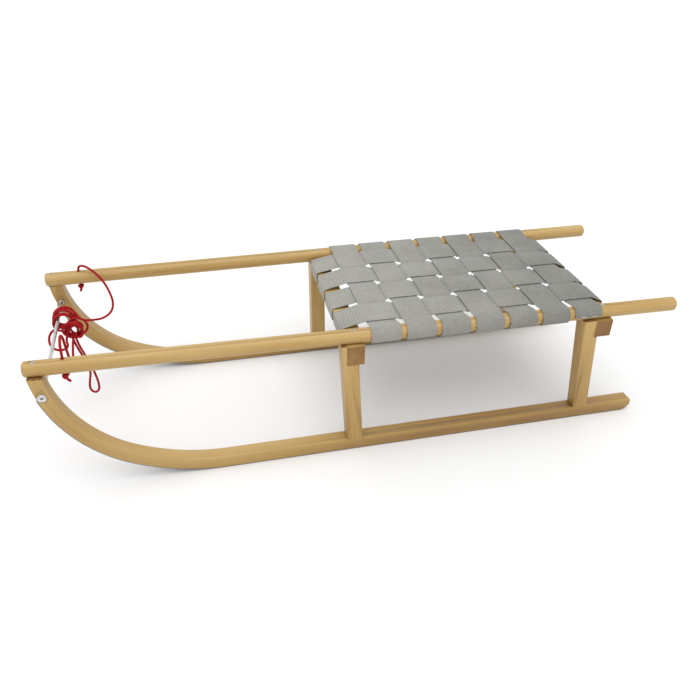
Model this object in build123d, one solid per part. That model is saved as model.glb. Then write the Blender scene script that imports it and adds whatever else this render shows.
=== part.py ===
from build123d import *
from math import atan2, cos, degrees, radians, sin, tan
import os

# Wooden toboggan with a woven webbing seat.  Millimetres, +Z up, +X forwards (towards the
# curved runner tips), +Y to the rider's left.  The origin is on the ground under the middle.

os.makedirs("parts", exist_ok=True)

# ---------------------------------------------------------------- driving dimensions
# Side rails
rail_length = 1100.0            # front end to rear end
rail_spread_front = 293.0       # between the rail axes at the front ends
rail_spread_rear = 328.0        # and at the rear ends
rail_diameter = 25.0            # turned round bar
rail_end_radius = 4.0
rail_seat_depth = 1.0           # of the hollow that a leg head and a crossbar end have for the rail
tip_seat_depth = 2.0            # flat cut under the rail's front end for the runner tip
tip_seat_length = 32.0
tip_seat_overrun = 10.0         # of that cut past the rail's front end

# Runners and their steel shoes
shoe_thickness = 2.0
shoe_width = 22.0
runner_depth = 22.0
runner_width = 25.0
runner_outer_width = 350.0      # over both runners, where they run straight
runner_tip_spread = 300.0       # between the runner centrelines at their tips
runner_rear_x = -512.0
runner_rear_chamfer = 12.0
runner_end_radius = 2.5         # of the rear end's upper edge
runner_edge_radius = 1.5        # of the long edges
bend_start_x = 262.0            # where the runner leaves the ground
first_bend_radius = 370.0       # of the sliding surface
first_bend_angle = 25.0
second_bend_radius = 225.0
second_bend_angle = 57.0
plan_bend_start_x = 280.0       # where the runner starts to lean inwards
shoe_end_angle = 74.0           # steepness of the sliding surface where the shoe ends
shoe_rear_gap = 3.0             # between the runner's chamfered heel and the shoe
plan_overrun = 10.0             # of the plan outline past the sled's ends, before the cut

# Legs and crossbars
leg_height = 191.5
leg_width = 28.0                # along the sled
leg_foot_thickness = 25.0       # across the sled
leg_head_thickness = 30.0
leg_head_overhang = 2.5         # beyond the outer side of the rail
leg_edge_radius = 2.0
front_leg_foot_x = 38.0
front_left_leg_head_x = 50.0
front_right_leg_head_x = 42.0   # stands straighter than its neighbour
rear_leg_foot_x = -403.0
rear_leg_head_x = -384.0
crossbar_width = 30.0           # along the sled
front_crossbar_x = 40.0
rear_crossbar_x = -409.0
front_crossbar_end_depth = 36.0
rear_crossbar_end_depth = 32.0
crossbar_overhang = 3.5         # beyond the outer side of the rail
crossbar_rise = 10.5            # of the raised middle above the leg heads
crossbar_middle_depth = 21.0
crossbar_shoulder_gap = 3.0     # between the raised middle and the rail's inner side
crossbar_shoulder_run = 3.0     # length of the slope from the end up to the raised middle
crossbar_arch_shift = 2.0       # of the arch's foot inwards from the shoulder
crossbar_arch_overlap = 4.0     # of the slope's inner end past the arch's foot
crossbar_arch_run = 22.0        # length of the slope at each end of the underside arch
crossbar_edge_radius = 2.0

# Webbing
strap_thickness = 2.0
cross_strap_width = 51.0
long_strap_width = 57.0
strap_clearance = 0.5           # between webbing and what it lies on
weave_clearance = 0.6           # between two straps where they cross
cross_strap_count = 7
cross_strap_pitch = 60.5
first_cross_strap_x = -12.0
long_strap_count = 4
long_strap_pitch = 68.9
seat_drop = 2.5                 # of the weave's middle plane below the rail tops
weave_flat_margin = 1.5         # a strap stays level this far past the edge it crosses
weave_bend_radius = 6.0
wrap_easing = 0.2               # by which a wrap's radius is under the full half round
wrap_inset = 3.0                # of the wrap's inner end from the rail axis
under_lap = 18.0                # of a cross strap under the rail, from the outer side
long_strap_lap = 24.0           # of a lengthwise strap under the crossbar
last_strap_hem_drop = 2.5       # below the rail axis, where the leg leaves no lap

# Fasteners
screw_head_diameter = 8.0
screw_head_height = 3.2
screw_diameter = 4.2
screw_sink = 1.0
sink_hole_height = 4.0          # of the clear way cut above a sunk head
rail_screw_length = 46.0
rail_screw_front_x = 534.0
leg_screw_length = 55.0
crossbar_screw_drop = 28.0      # below the leg heads
crossbar_screw_shift = 6.0      # outwards from the rail axis
crossbar_screw_length = 34.0
shoe_screw_head_diameter = 7.0
shoe_screw_head_height = 1.8
shoe_screw_diameter = 3.0
shoe_screw_length = 16.0
shoe_screw_xs = (-478.0, -300.0, -150.0, 110.0, 240.0)
nose_screw_setback = 4.0        # in degrees of steepness, from the shoe's front end
staple_crown = 11.0
staple_wire = 1.0
staple_leg = 8.0
staple_spacing = 22.0
rail_staple_shift = 3.0         # of the staples under the rail outwards from its axis

# Tie rod between the runner tips
tie_rod_diameter = 6.0
tie_rod_x = 530.0
tie_rod_z = 182.0
rod_nut_diameter = 9.0
rod_nut_length = 17.0
rod_nut_flange_diameter = 14.5
rod_nut_flange_thickness = 1.6
rod_socket_width = 4.0          # across the flats of the hexagon socket
rod_socket_depth = 5.0
rod_end_gap = 2.0               # between the rod's end and the socket's floor
rod_washer_diameter = 10.0
rod_washer_thickness = 1.2
rod_spot_face_depth = 1.4
rod_spot_face_margin = 0.5      # round the washer and the flange
rod_cut_overrun = 5.0           # of each bore and spot face past the runner's side

# Pull cord
cord_diameter = 4.0
cord_hole_diameter = 6.0
cord_hole_x = 491.0
knot_width = 11.0
knot_height = 9.0
knot_tail = 9.0
knot_tail_lean = 25.0           # in degrees
knot_seat_gap = 0.3

# ---------------------------------------------------------------- derived places
runner_top_z = shoe_thickness + runner_depth
leg_head_z = runner_top_z + leg_height
rail_radius = rail_diameter / 2
rail_under_z = leg_head_z - rail_seat_depth
rail_axis_z = rail_under_z + rail_radius
rail_top_z = rail_axis_z + rail_radius
tip_seat_z = rail_under_z + tip_seat_depth
runner_y = (runner_outer_width - runner_width) / 2
tip_y = runner_tip_spread / 2
rail_lean = degrees(atan2((rail_spread_rear - rail_spread_front) / 2, rail_length))
seat_z = rail_top_z - seat_drop
crossbar_top_z = leg_head_z + crossbar_rise
crossbar_arch_z = crossbar_top_z - crossbar_middle_depth
weave_rise = (strap_thickness + weave_clearance) / 2
strap_offset = strap_thickness / 2 + strap_clearance
rail_wrap_corner = rail_radius + strap_offset - wrap_easing
crossbar_wrap_corner = crossbar_edge_radius + strap_offset
cross_strap_xs = [first_cross_strap_x - i * cross_strap_pitch for i in range(cross_strap_count)]
long_strap_ys = [(i - (long_strap_count - 1) / 2) * long_strap_pitch for i in range(long_strap_count)]


def rail_y(x):
    """Distance of the rail axis from the sled's middle plane."""
    share = (rail_length / 2 - x) / rail_length
    return (rail_spread_front + share * (rail_spread_rear - rail_spread_front)) / 2


def both_sides(left_solid):
    """The left solid and its mirror image on the right."""
    return left_solid, mirror(left_solid, about=Plane.XZ)


nodes = {}


def box_between(low, high):
    """Box from its lowest to its highest corner."""
    size = [b - a for a, b in zip(low, high)]
    middle = [(a + b) / 2 for a, b in zip(low, high)]
    return Pos(*middle) * Box(*size)


# ---------------------------------------------------------------- side rails
def left_rail_blank():
    """Turned round bar with rounded ends."""
    bar = Rot(0, 90, 0) * Cylinder(rail_radius, rail_length)
    bar = fillet(bar.edges().filter_by(GeomType.CIRCLE), rail_end_radius)
    middle_y = (rail_spread_front + rail_spread_rear) / 4
    return Pos(0, middle_y, rail_axis_z) * Rot(0, 0, -rail_lean) * bar


# ---------------------------------------------------------------- runners and shoes
def bend_point(steepness, inset):
    """Point of the side profile at a steepness in degrees, inset from the sliding surface."""
    first = radians(min(steepness, first_bend_angle))
    x = bend_start_x + first_bend_radius * sin(first)
    z = first_bend_radius * (1 - cos(first))
    turn = radians(steepness)
    if steepness > first_bend_angle:
        x += second_bend_radius * (sin(turn) - sin(first))
        z += second_bend_radius * (cos(first) - cos(turn))
    return x - inset * sin(turn), z + inset * cos(turn)


def runner_curve(inset, start_x, end_steepness, top_z=None):
    """Line and two tangent arcs, with a straight tip up to top_z if that is given."""
    middle_1 = bend_point(first_bend_angle / 2, inset)
    joint = bend_point(first_bend_angle, inset)
    middle_2 = bend_point((first_bend_angle + end_steepness) / 2, inset)
    end = bend_point(end_steepness, inset)
    pieces = [
        Line((start_x, inset), (bend_start_x, inset)),
        ThreePointArc((bend_start_x, inset), middle_1, joint),
        ThreePointArc(joint, middle_2, end)]
    if top_z is not None:
        rise = top_z - end[1]
        end_top = (end[0] + rise / tan(radians(end_steepness)), top_z)
        pieces.append(Line(end, end_top))
    return pieces


def side_band(inset_low, inset_high, start_x, end_steepness, top_z=None):
    """Closed face between two insets of the side profile."""
    low = runner_curve(inset_low, start_x, end_steepness, top_z)
    high = runner_curve(inset_high, start_x, end_steepness, top_z)
    closing = [Line(low[0] @ 0, high[0] @ 0), Line(low[-1] @ 1, high[-1] @ 1)]
    return make_face(Curve() + low + high + closing)


def plan_shift(x):
    """How far the runner has leaned inwards at x."""
    reach = bend_point(first_bend_angle + second_bend_angle, 0)[0] - plan_bend_start_x
    shift = runner_y - tip_y
    return shift * (max(x - plan_bend_start_x, 0.0) / reach) ** 2


def plan_band(width):
    """Runner seen from above: straight, then an easy curve inwards to the tip."""
    past_tip = rail_length / 2 + plan_overrun
    middle_x = (plan_bend_start_x + past_tip) / 2

    def side(offset):
        start = (plan_bend_start_x, runner_y + offset)
        middle = (middle_x, runner_y + offset - plan_shift(middle_x))
        end = (past_tip, runner_y + offset - plan_shift(past_tip))
        rear = (runner_rear_x - plan_overrun, runner_y + offset)
        return [Line(rear, start), ThreePointArc(start, middle, end)]

    inner = side(-width / 2)
    outer = side(width / 2)
    closing = [Line(inner[0] @ 0, outer[0] @ 0), Line(inner[1] @ 1, outer[1] @ 1)]
    face = make_face(Curve() + inner + outer + closing)
    return extrude(face, rail_top_z)


def bent_strip(profile, width):
    """Side profile and plan together."""
    slab = extrude(Plane.XZ * profile, -runner_outer_width)
    return slab & plan_band(width)


def left_runner_blank():
    steepness = first_bend_angle + second_bend_angle
    profile = side_band(shoe_thickness, runner_top_z, runner_rear_x, steepness, tip_seat_z)
    runner = bent_strip(profile, runner_width)
    rear_face = runner.faces().sort_by(Axis.X)[0]
    heel = rear_face.edges().filter_by(Axis.Y).sort_by(Axis.Z)[0]
    runner = chamfer(heel, runner_rear_chamfer)
    top_rear = runner.faces().sort_by(Axis.X)[0].edges().filter_by(Axis.Y).sort_by(Axis.Z)[-1]
    runner = fillet(top_rear, runner_end_radius)
    long_edges = [e for e in runner.edges()
                  if e.length > runner_width * 2 and e.center().Z > shoe_thickness + runner_edge_radius]
    return fillet(long_edges, runner_edge_radius)


def left_shoe_blank():
    start_x = runner_rear_x + runner_rear_chamfer + shoe_rear_gap
    return bent_strip(side_band(0.0, shoe_thickness, start_x, shoe_end_angle), shoe_width)


# ---------------------------------------------------------------- crossbars
def crossbar_blank(middle_x, end_depth):
    """Sawn yoke: its ends pass under the rails and its middle is raised between them."""
    end_y = rail_y(middle_x) + rail_radius + crossbar_overhang
    shoulder_y = rail_y(middle_x) - rail_radius - crossbar_shoulder_gap
    shoulder_top_y = shoulder_y - crossbar_shoulder_run
    arch_y = shoulder_y - crossbar_arch_shift
    foot_y = arch_y + crossbar_arch_run
    end_z = leg_head_z - end_depth
    half = [
        (shoulder_top_y, crossbar_top_z), (shoulder_y, leg_head_z), (end_y, leg_head_z),
        (end_y, end_z), (foot_y, end_z), (arch_y - crossbar_arch_overlap, crossbar_arch_z)]
    outline = half + [(-y, z) for y, z in reversed(half)]
    bar = extrude(Plane.YZ * make_face(Polyline(*outline, close=True)), crossbar_width / 2, both=True)
    folds = [e for e in bar.edges().filter_by(Axis.Y) if abs(e.center().Y) < 1.0]
    return Pos(middle_x, 0, 0) * fillet(folds, crossbar_edge_radius)


# ---------------------------------------------------------------- legs
def left_leg_blank(foot_x, head_x):
    """Post that leans a little, thicker across the sled at its head."""
    foot_outer = runner_outer_width / 2
    head_outer = rail_y(head_x) + rail_radius + leg_head_overhang
    foot = Pos(foot_x, foot_outer - leg_foot_thickness / 2, runner_top_z) \
        * Rectangle(leg_width, leg_foot_thickness)
    head = Pos(head_x, head_outer - leg_head_thickness / 2, leg_head_z) \
        * Rectangle(leg_width, leg_head_thickness)
    post = loft([foot.face(), head.face()], ruled=True)
    upright = [e for e in post.edges() if abs((e % 0.5).Z) > 0.9]
    return fillet(upright, leg_edge_radius)


# ---------------------------------------------------------------- fasteners
def countersunk_screw(length, head_d, head_h, shank_d):
    """Screw with its flat head's top at the origin, pointing down."""
    head = Pos(0, 0, -head_h / 2) * Cone(shank_d / 2, head_d / 2, head_h)
    shank = Pos(0, 0, -(head_h + length) / 2) * Cylinder(shank_d / 2, length - head_h)
    return head + shank


def wood_screw(length):
    return countersunk_screw(length, screw_head_diameter, screw_head_height, screw_diameter)


def screw_sink_hole():
    """Clear way above a sunk head."""
    return Pos(0, 0, sink_hole_height / 2) * Cylinder(screw_head_diameter / 2, sink_hole_height)


def staple(crown_direction):
    """Staple with its crown's outer face at the origin and its legs up."""
    crown = Pos(0, 0, staple_wire / 2) * Box(staple_crown, staple_wire, staple_wire)
    reach = (staple_crown - staple_wire) / 2
    legs = [Pos(side * reach, 0, (staple_leg + staple_wire) / 2)
            * Box(staple_wire, staple_wire, staple_leg - staple_wire) for side in (-1, 1)]
    turned = crown + legs
    return Rot(0, 0, 90 if crown_direction == "Y" else 0) * turned


rail_screw_places = [Pos(x, rail_y(x), rail_top_z - screw_sink)
                     for x in (rail_screw_front_x, front_crossbar_x, rear_crossbar_x)]
left_rail_screws = [place * wood_screw(rail_screw_length) for place in rail_screw_places]
left_rail_sinks = [place * screw_sink_hole() for place in rail_screw_places]

left_leg_screws = [Pos(x, runner_y, shoe_thickness) * Rot(180, 0, 0) * wood_screw(leg_screw_length)
                   for x in (front_leg_foot_x, rear_leg_foot_x)]

crossbar_screw_z = leg_head_z - crossbar_screw_drop


def left_crossbar_screw(bar_x, face):
    """Screw from the crossbar's rear face (-1) or front face (1) into the leg behind it."""
    place = Pos(bar_x + face * crossbar_width / 2, rail_y(bar_x) + crossbar_screw_shift, crossbar_screw_z)
    return place * Rot(0, face * 90, 0) * wood_screw(crossbar_screw_length)


rear_bar_screw = left_crossbar_screw(rear_crossbar_x, -1)
left_crossbar_screws = [left_crossbar_screw(front_crossbar_x, -1), rear_bar_screw]
mirrored_crossbar_screws = [left_crossbar_screw(front_crossbar_x, 1), rear_bar_screw]
right_crossbar_screws = [mirror(s, about=Plane.XZ) for s in mirrored_crossbar_screws]

shoe_screw = countersunk_screw(
    shoe_screw_length, shoe_screw_head_diameter, shoe_screw_head_height, shoe_screw_diameter)
left_shoe_screws = [Pos(x, runner_y, 0) * Rot(180, 0, 0) * shoe_screw for x in shoe_screw_xs]
nose_steepness = shoe_end_angle - nose_screw_setback
nose_x, nose_z = bend_point(nose_steepness, 0)
nose_place = Pos(nose_x, runner_y - plan_shift(nose_x), nose_z)
left_shoe_screws.append(nose_place * Rot(0, -nose_steepness, 0) * Rot(180, 0, 0) * shoe_screw)

# ---------------------------------------------------------------- tie rod and its fittings
tip_middle_y = runner_y - plan_shift(tie_rod_x)
rod_outer_y = tip_middle_y + runner_width / 2
rod_inner_y = tip_middle_y - runner_width / 2
nut_seat_y = rod_outer_y - rod_spot_face_depth
washer_seat_y = rod_inner_y + rod_spot_face_depth


def across(radius, low_y, high_y):
    """Cylinder along Y on the tie rod's axis."""
    place = Pos(tie_rod_x, (low_y + high_y) / 2, tie_rod_z) * Rot(90, 0, 0)
    return place * Cylinder(radius, high_y - low_y)


def left_rod_nut():
    """Flanged barrel nut with a hexagon socket, let into the outer side of the runner tip."""
    barrel = across(rod_nut_diameter / 2, nut_seat_y - rod_nut_length, nut_seat_y)
    flange = across(rod_nut_flange_diameter / 2, nut_seat_y, nut_seat_y + rod_nut_flange_thickness)
    rim = flange.edges().filter_by(GeomType.CIRCLE).group_by(Axis.Y)[-1]
    flange = fillet(rim, rod_nut_flange_thickness / 2)
    face_y = nut_seat_y + rod_nut_flange_thickness
    socket_place = Plane(origin=(tie_rod_x, face_y, tie_rod_z), z_dir=(0, -1, 0))
    socket = extrude(socket_place * RegularPolygon(rod_socket_width / 2, 6, major_radius=False),
                     rod_socket_depth)
    thread = across(tie_rod_diameter / 2, nut_seat_y - rod_nut_length, rod_end_y)
    return barrel + flange - socket - thread


rod_end_y = nut_seat_y + rod_nut_flange_thickness - rod_socket_depth - rod_end_gap
tie_rod = across(tie_rod_diameter / 2, -rod_end_y, rod_end_y)
cut_outer_y = rod_outer_y + rod_cut_overrun
cut_inner_y = rod_inner_y - rod_cut_overrun
nut_bore = across(rod_nut_diameter / 2, nut_seat_y - rod_nut_length, cut_outer_y)
nut_spot_face = across(rod_nut_flange_diameter / 2 + rod_spot_face_margin, nut_seat_y, cut_outer_y)
rod_bore = across(tie_rod_diameter / 2, cut_inner_y, rod_outer_y)
washer_spot_face = across(rod_washer_diameter / 2 + rod_spot_face_margin, cut_inner_y, washer_seat_y)
left_washer = across(rod_washer_diameter / 2, washer_seat_y - rod_washer_thickness, washer_seat_y)
left_washer -= rod_bore


# ---------------------------------------------------------------- webbing
def swept_strap(points, radii, section_plane, width):
    """Flat webbing along a planar path of straight runs and tangent arcs."""
    path = FilletPolyline(*points, radius=radii)
    section = section_plane * Rectangle(width, strap_thickness)
    return sweep(section, path=path)


def weave_points(centres, other_half, over_first):
    """Level stretches over and under the straps that are crossed, as (place, height)."""
    flat = other_half + weave_flat_margin
    points = []
    for number, centre in enumerate(centres):
        over = over_first == (number % 2 == 0)
        height = seat_z + (weave_rise if over else -weave_rise)
        step = 1 if centres[-1] > centres[0] else -1
        points += [(centre - step * flat, height), (centre + step * flat, height)]
    return points


def cross_strap(number):
    """Strap across the sled, round both rails.  The last one ends on the rail's outer side."""
    x = cross_strap_xs[number]
    outer_y = rail_y(x) + rail_radius + strap_offset
    top_z = rail_top_z + strap_offset
    under_z = rail_under_z - strap_offset
    over_y = rail_y(x) - wrap_inset
    last = number == cross_strap_count - 1
    if last:
        side = [(outer_y, rail_axis_z - last_strap_hem_drop)]
        side_radii = []
    else:
        side = [(outer_y - under_lap, under_z), (outer_y, under_z)]
        side_radii = [rail_wrap_corner]
    right = [(-y, z) for y, z in side] + [(-outer_y, top_z), (-over_y, top_z)]
    left = [(-y, z) for y, z in reversed(right)]
    weave = weave_points(long_strap_ys, long_strap_width / 2, number % 2 == 0)
    path = right + weave + left
    wrap_radii = side_radii + [rail_wrap_corner, weave_bend_radius]
    radii = wrap_radii + [weave_bend_radius] * len(weave) + wrap_radii[::-1]
    points = [(x, y, z) for y, z in path]
    direction = (0, 0, 1) if last else (0, -1, 0)
    start = Plane(origin=points[0], x_dir=(1, 0, 0), z_dir=direction)
    return swept_strap(points, radii, start, cross_strap_width)


def long_strap(number):
    """Strap along the sled, folded round both crossbars."""
    y = long_strap_ys[number]
    front_x = front_crossbar_x + crossbar_width / 2 + strap_offset
    rear_x = rear_crossbar_x - crossbar_width / 2 - strap_offset
    top_z = crossbar_top_z + strap_offset
    under_z = crossbar_arch_z - strap_offset
    weave = weave_points(cross_strap_xs, cross_strap_width / 2, number % 2 == 1)
    path = [(front_x - long_strap_lap, under_z), (front_x, under_z), (front_x, top_z)] + weave
    path += [(rear_x, top_z), (rear_x, under_z), (rear_x + long_strap_lap, under_z)]
    folds = [crossbar_wrap_corner] * 2
    radii = folds + [weave_bend_radius] * len(weave) + folds
    points = [(x, y, z) for x, z in path]
    start = Plane(origin=points[0], x_dir=(0, 1, 0), z_dir=(1, 0, 0))
    return swept_strap(points, radii, start, long_strap_width)


cross_straps = [cross_strap(i) for i in range(cross_strap_count)]
long_straps = [long_strap(i) for i in range(long_strap_count)]

# Staples through the strap ends
left_rail_staples = []
for number, x in enumerate(cross_strap_xs):
    for shift in (-staple_spacing / 2, staple_spacing / 2):
        if number < cross_strap_count - 1:
            crown_z = rail_under_z - strap_offset - strap_thickness / 2 - staple_wire
            place = Pos(x + shift, rail_y(x) + rail_staple_shift, crown_z)
        else:
            crown_y = rail_y(x) + rail_radius + strap_offset + strap_thickness / 2 + staple_wire
            place = Pos(x + shift, crown_y, rail_axis_z) * Rot(90, 0, 0)
        left_rail_staples.append(place * staple("X"))

crossbar_staples = []
for y in long_strap_ys:
    for bar_x in (front_crossbar_x, rear_crossbar_x):
        for shift in (-staple_spacing / 2, staple_spacing / 2):
            crown_z = crossbar_arch_z - strap_offset - strap_thickness / 2 - staple_wire
            crossbar_staples.append(Pos(bar_x, y + shift, crown_z) * staple("Y"))

# ---------------------------------------------------------------- wooden pieces, cut to fit
front_crossbar = crossbar_blank(front_crossbar_x, front_crossbar_end_depth)
rear_crossbar = crossbar_blank(rear_crossbar_x, rear_crossbar_end_depth)

cord_hole_place = Pos(cord_hole_x, rail_y(cord_hole_x), rail_axis_z)
cord_hole = cord_hole_place * Cylinder(cord_hole_diameter / 2, rail_diameter * 2)
rail_front_x = rail_length / 2
tip_seat = box_between((rail_front_x - tip_seat_length, 0, 0),
                       (rail_front_x + tip_seat_overrun, runner_outer_width, tip_seat_z))

rail_round = left_rail_blank()
left_rail = rail_round - tip_seat - cord_hole - left_rail_screws - left_rail_sinks
left_rail = left_rail - left_rail_staples

left_runner = left_runner_blank() - left_rail_screws[0] - left_leg_screws - left_shoe_screws
left_runner = left_runner - nut_bore - nut_spot_face - rod_bore - washer_spot_face
left_shoe = left_shoe_blank() - left_shoe_screws



def fitted_leg(foot_x, head_x, crossbar, bar_screws):
    """Leg notched for its crossbar and hollowed for the rail."""
    return left_leg_blank(foot_x, head_x) - crossbar - rail_round - left_leg_screws - bar_screws


rear_left_leg = fitted_leg(rear_leg_foot_x, rear_leg_head_x, rear_crossbar, left_crossbar_screws)
nodes["rear_left_leg"], nodes["rear_right_leg"] = both_sides(rear_left_leg)
nodes["front_left_leg"] = fitted_leg(
    front_leg_foot_x, front_left_leg_head_x, front_crossbar, left_crossbar_screws)
nodes["front_right_leg"] = mirror(about=Plane.XZ, objects=fitted_leg(
    front_leg_foot_x, front_right_leg_head_x, front_crossbar, mirrored_crossbar_screws))

right_rail_screws = [mirror(s, about=Plane.XZ) for s in left_rail_screws]
bar_fasteners = left_crossbar_screws + right_crossbar_screws + left_rail_screws + right_rail_screws
rail_rounds = both_sides(rail_round)
front_crossbar = front_crossbar - rail_rounds - bar_fasteners - crossbar_staples
rear_crossbar = rear_crossbar - rail_rounds - bar_fasteners - crossbar_staples

for name, solid in (("rail", left_rail), ("runner", left_runner), ("shoe", left_shoe),
                    ("rod_nut", left_rod_nut())):
    nodes["left_" + name], nodes["right_" + name] = both_sides(solid)
nodes["front_crossbar"] = front_crossbar
nodes["rear_crossbar"] = rear_crossbar
nodes["tie_rod"] = tie_rod

right_rail_staples = [mirror(s, about=Plane.XZ) for s in left_rail_staples]
for number, strap in enumerate(cross_straps):
    nodes[f"cross_strap_{number + 1}"] = strap - left_rail_staples - right_rail_staples
for number, strap in enumerate(long_straps):
    nodes[f"long_strap_{number + 1}"] = strap - crossbar_staples


def paired_group(left_solids):
    return Compound(children=[half.solid() for s in left_solids for half in both_sides(s)])


nodes["rail_screws"] = paired_group(left_rail_screws)
nodes["leg_screws"] = paired_group(left_leg_screws)
nodes["crossbar_screws"] = Compound(
    children=[s.solid() for s in left_crossbar_screws + right_crossbar_screws])
nodes["shoe_screws"] = paired_group(left_shoe_screws)
nodes["tie_rod_washers"] = paired_group([left_washer])
nodes["rail_staples"] = paired_group(left_rail_staples)
nodes["crossbar_staples"] = Compound(children=[s.solid() for s in crossbar_staples])

# ---------------------------------------------------------------- pull cord
# One cord runs from a stopper knot under the right rail, up through its hole and down in a loop
# to a hank wound loosely round the tie rod, and from there to the left rail in the same way.
# Two slack loops hang out of the hank.
hank_middle = (511.0, -72.0, 173.0)
hank_radius = 24.0
hank_end_radius = 9.0
hank_half_length = 30.0

hole_y = rail_y(cord_hole_x)
knot_top_z = rail_under_z - knot_seat_gap

right_route = [
    (491.0, -hole_y, knot_top_z), (491.0, -hole_y, 231.0), (490.0, -146.5, 249.0),
    (479.0, -141.5, 252.5), (463.0, -133.0, 243.5), (448.0, -124.0, 227.0),
    (439.0, -114.5, 208.0), (434.5, -106.0, 189.0), (440.0, -98.5, 173.5),
    (456.0, -90.0, 166.5), (474.0, -83.0, 169.5), (492.0, -76.0, 175.0)]

long_loop_route = [
    (512.0, -62.0, 164.0), (507.5, -55.0, 141.0), (499.5, -51.5, 118.0), (493.5, -51.5, 96.0),
    (491.0, -52.0, 76.0), (495.5, -52.5, 59.0), (498.5, -53.0, 45.0), (497.0, -53.0, 34.0),
    (489.5, -53.0, 28.5), (482.5, -52.7, 35.0), (481.0, -52.0, 49.0), (483.0, -51.0, 70.0),
    (487.5, -49.5, 94.0), (493.0, -47.5, 118.0), (500.5, -49.0, 141.0), (504.5, -56.0, 161.0)]

loose_loop_route = [
    (524.0, -68.0, 170.0), (538.0, -52.0, 175.0), (543.0, -30.0, 174.0), (539.0, -8.0, 170.0),
    (529.0, 3.0, 166.0), (516.0, 0.0, 163.0), (511.0, -16.0, 160.0), (517.0, -36.0, 161.0),
    (514.0, -56.0, 166.0)]

left_route = [
    (506.0, -60.0, 162.0), (508.0, -36.0, 149.0), (506.0, -8.0, 144.0), (503.5, 22.0, 145.0),
    (499.0, 50.0, 154.0), (494.5, 74.0, 170.0), (491.5, 92.0, 192.0), (490.5, 104.0, 217.0),
    (490.2, 111.5, 242.0), (490.2, 117.0, 260.0), (490.3, 127.5, 268.5), (490.6, 139.5, 266.0),
    (490.8, 146.0, 254.0), (491.0, hole_y, 234.0), (491.0, hole_y, knot_top_z)]


def corner_radii(name, route):
    """Radius of each arc: 0.45 of the shorter run, over the tangent of half the turn."""
    corners = [Vector(*p) for p in route]
    runs = [b - a for a, b in zip(corners, corners[1:])]
    radii = []
    for before, after in zip(runs, runs[1:]):
        half_turn = radians(before.get_angle(after)) / 2
        radii.append(0.45 * min(before.length, after.length) / tan(half_turn))
    print(name, "radii", [round(r, 1) for r in radii])
    return radii


def cord_tube(name, route):
    """Round tube of straight runs joined by tangent arcs."""
    path = FilletPolyline(*route, radius=corner_radii(name, route))
    start = Plane(origin=path @ 0, z_dir=path % 0)
    tube = sweep(start * Circle(cord_diameter / 2), path=path)
    section = Circle(cord_diameter / 2).area
    print(name, "length", round(path.length, 1), "volume share", round(tube.volume / section / path.length, 4))
    return tube


def hank_solid():
    """Outer shape of the wound cord, round an axis across the sled, clear of the tie rod."""
    end, middle = hank_end_radius, hank_radius
    outline = Curve() + [
        Line((0, -hank_half_length), (end, -hank_half_length)),
        ThreePointArc((end, -hank_half_length), (middle, 0), (end, hank_half_length)),
        Line((end, hank_half_length), (0, hank_half_length)),
        Line((0, hank_half_length), (0, -hank_half_length))]
    lemon = revolve(make_face(outline), Axis.Y)
    rod_way = across(tie_rod_diameter / 2 + strap_clearance, -runner_y, runner_y)
    return Pos(*hank_middle) * lemon - rod_way


def stopper_knot():
    """Overhand knot with its tail, hanging under the left rail's hole."""
    ball = Pos(0, 0, -knot_height / 2) * Sphere(knot_width / 2)
    ball = ball & Pos(0, 0, -knot_height / 2) * Box(knot_width, knot_width, knot_height)
    lean = Rot(0, knot_tail_lean, 0) * Pos(0, 0, -(knot_height + knot_tail) / 2)
    tail = Pos(0, 0, -knot_height / 2) * lean * Cylinder(cord_diameter / 2, knot_tail + knot_height / 2)
    return Pos(cord_hole_x, hole_y, knot_top_z) * (ball + tail)


hank = hank_solid()
nodes["pull_cord_hank"] = hank
for name, route in (("pull_cord_right", right_route), ("pull_cord_long_loop", long_loop_route),
                    ("pull_cord_loose_loop", loose_loop_route), ("pull_cord_left", left_route)):
    nodes[name] = cord_tube(name, route) - hank
nodes["left_knot"], nodes["right_knot"] = both_sides(stopper_knot())

# ---------------------------------------------------------------- write the pieces
for name, shape in nodes.items():
    export_step(shape, f"parts/{name}.step")
    print(name, len(shape.solids()), round(shape.volume, 1))
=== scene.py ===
# %% [markdown]
# # A wooden toboggan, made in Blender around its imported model
#
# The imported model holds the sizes: two rails, two bent runners, four legs, two crossbars, a tie
# rod, webbing and a pull cord. This lesson keeps those sizes and adds what the eye looks for:
# ribbed webbing that goes over and under, a braided cord with real knots, screws with a cross in
# their heads, and wood whose grain follows each bend. Everything is in metres, +X points
# forwards, +Y to the rider's left and +Z up.

import math

import bmesh
import bpy
import numpy as np
from mathutils import Matrix, Vector


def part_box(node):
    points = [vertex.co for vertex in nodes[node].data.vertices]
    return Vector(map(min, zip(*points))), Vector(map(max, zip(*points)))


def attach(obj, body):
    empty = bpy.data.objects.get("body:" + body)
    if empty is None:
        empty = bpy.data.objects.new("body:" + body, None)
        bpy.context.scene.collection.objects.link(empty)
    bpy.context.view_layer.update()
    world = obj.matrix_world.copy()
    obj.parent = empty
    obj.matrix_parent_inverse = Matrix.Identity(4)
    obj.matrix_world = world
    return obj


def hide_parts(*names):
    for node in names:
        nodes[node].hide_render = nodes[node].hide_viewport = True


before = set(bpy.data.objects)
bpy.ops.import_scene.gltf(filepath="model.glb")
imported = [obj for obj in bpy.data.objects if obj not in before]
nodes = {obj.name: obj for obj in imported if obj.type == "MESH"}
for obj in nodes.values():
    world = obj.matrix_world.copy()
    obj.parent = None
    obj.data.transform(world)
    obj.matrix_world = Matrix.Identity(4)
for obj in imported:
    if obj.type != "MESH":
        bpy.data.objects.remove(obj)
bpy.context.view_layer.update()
collection = bpy.context.scene.collection

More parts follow.
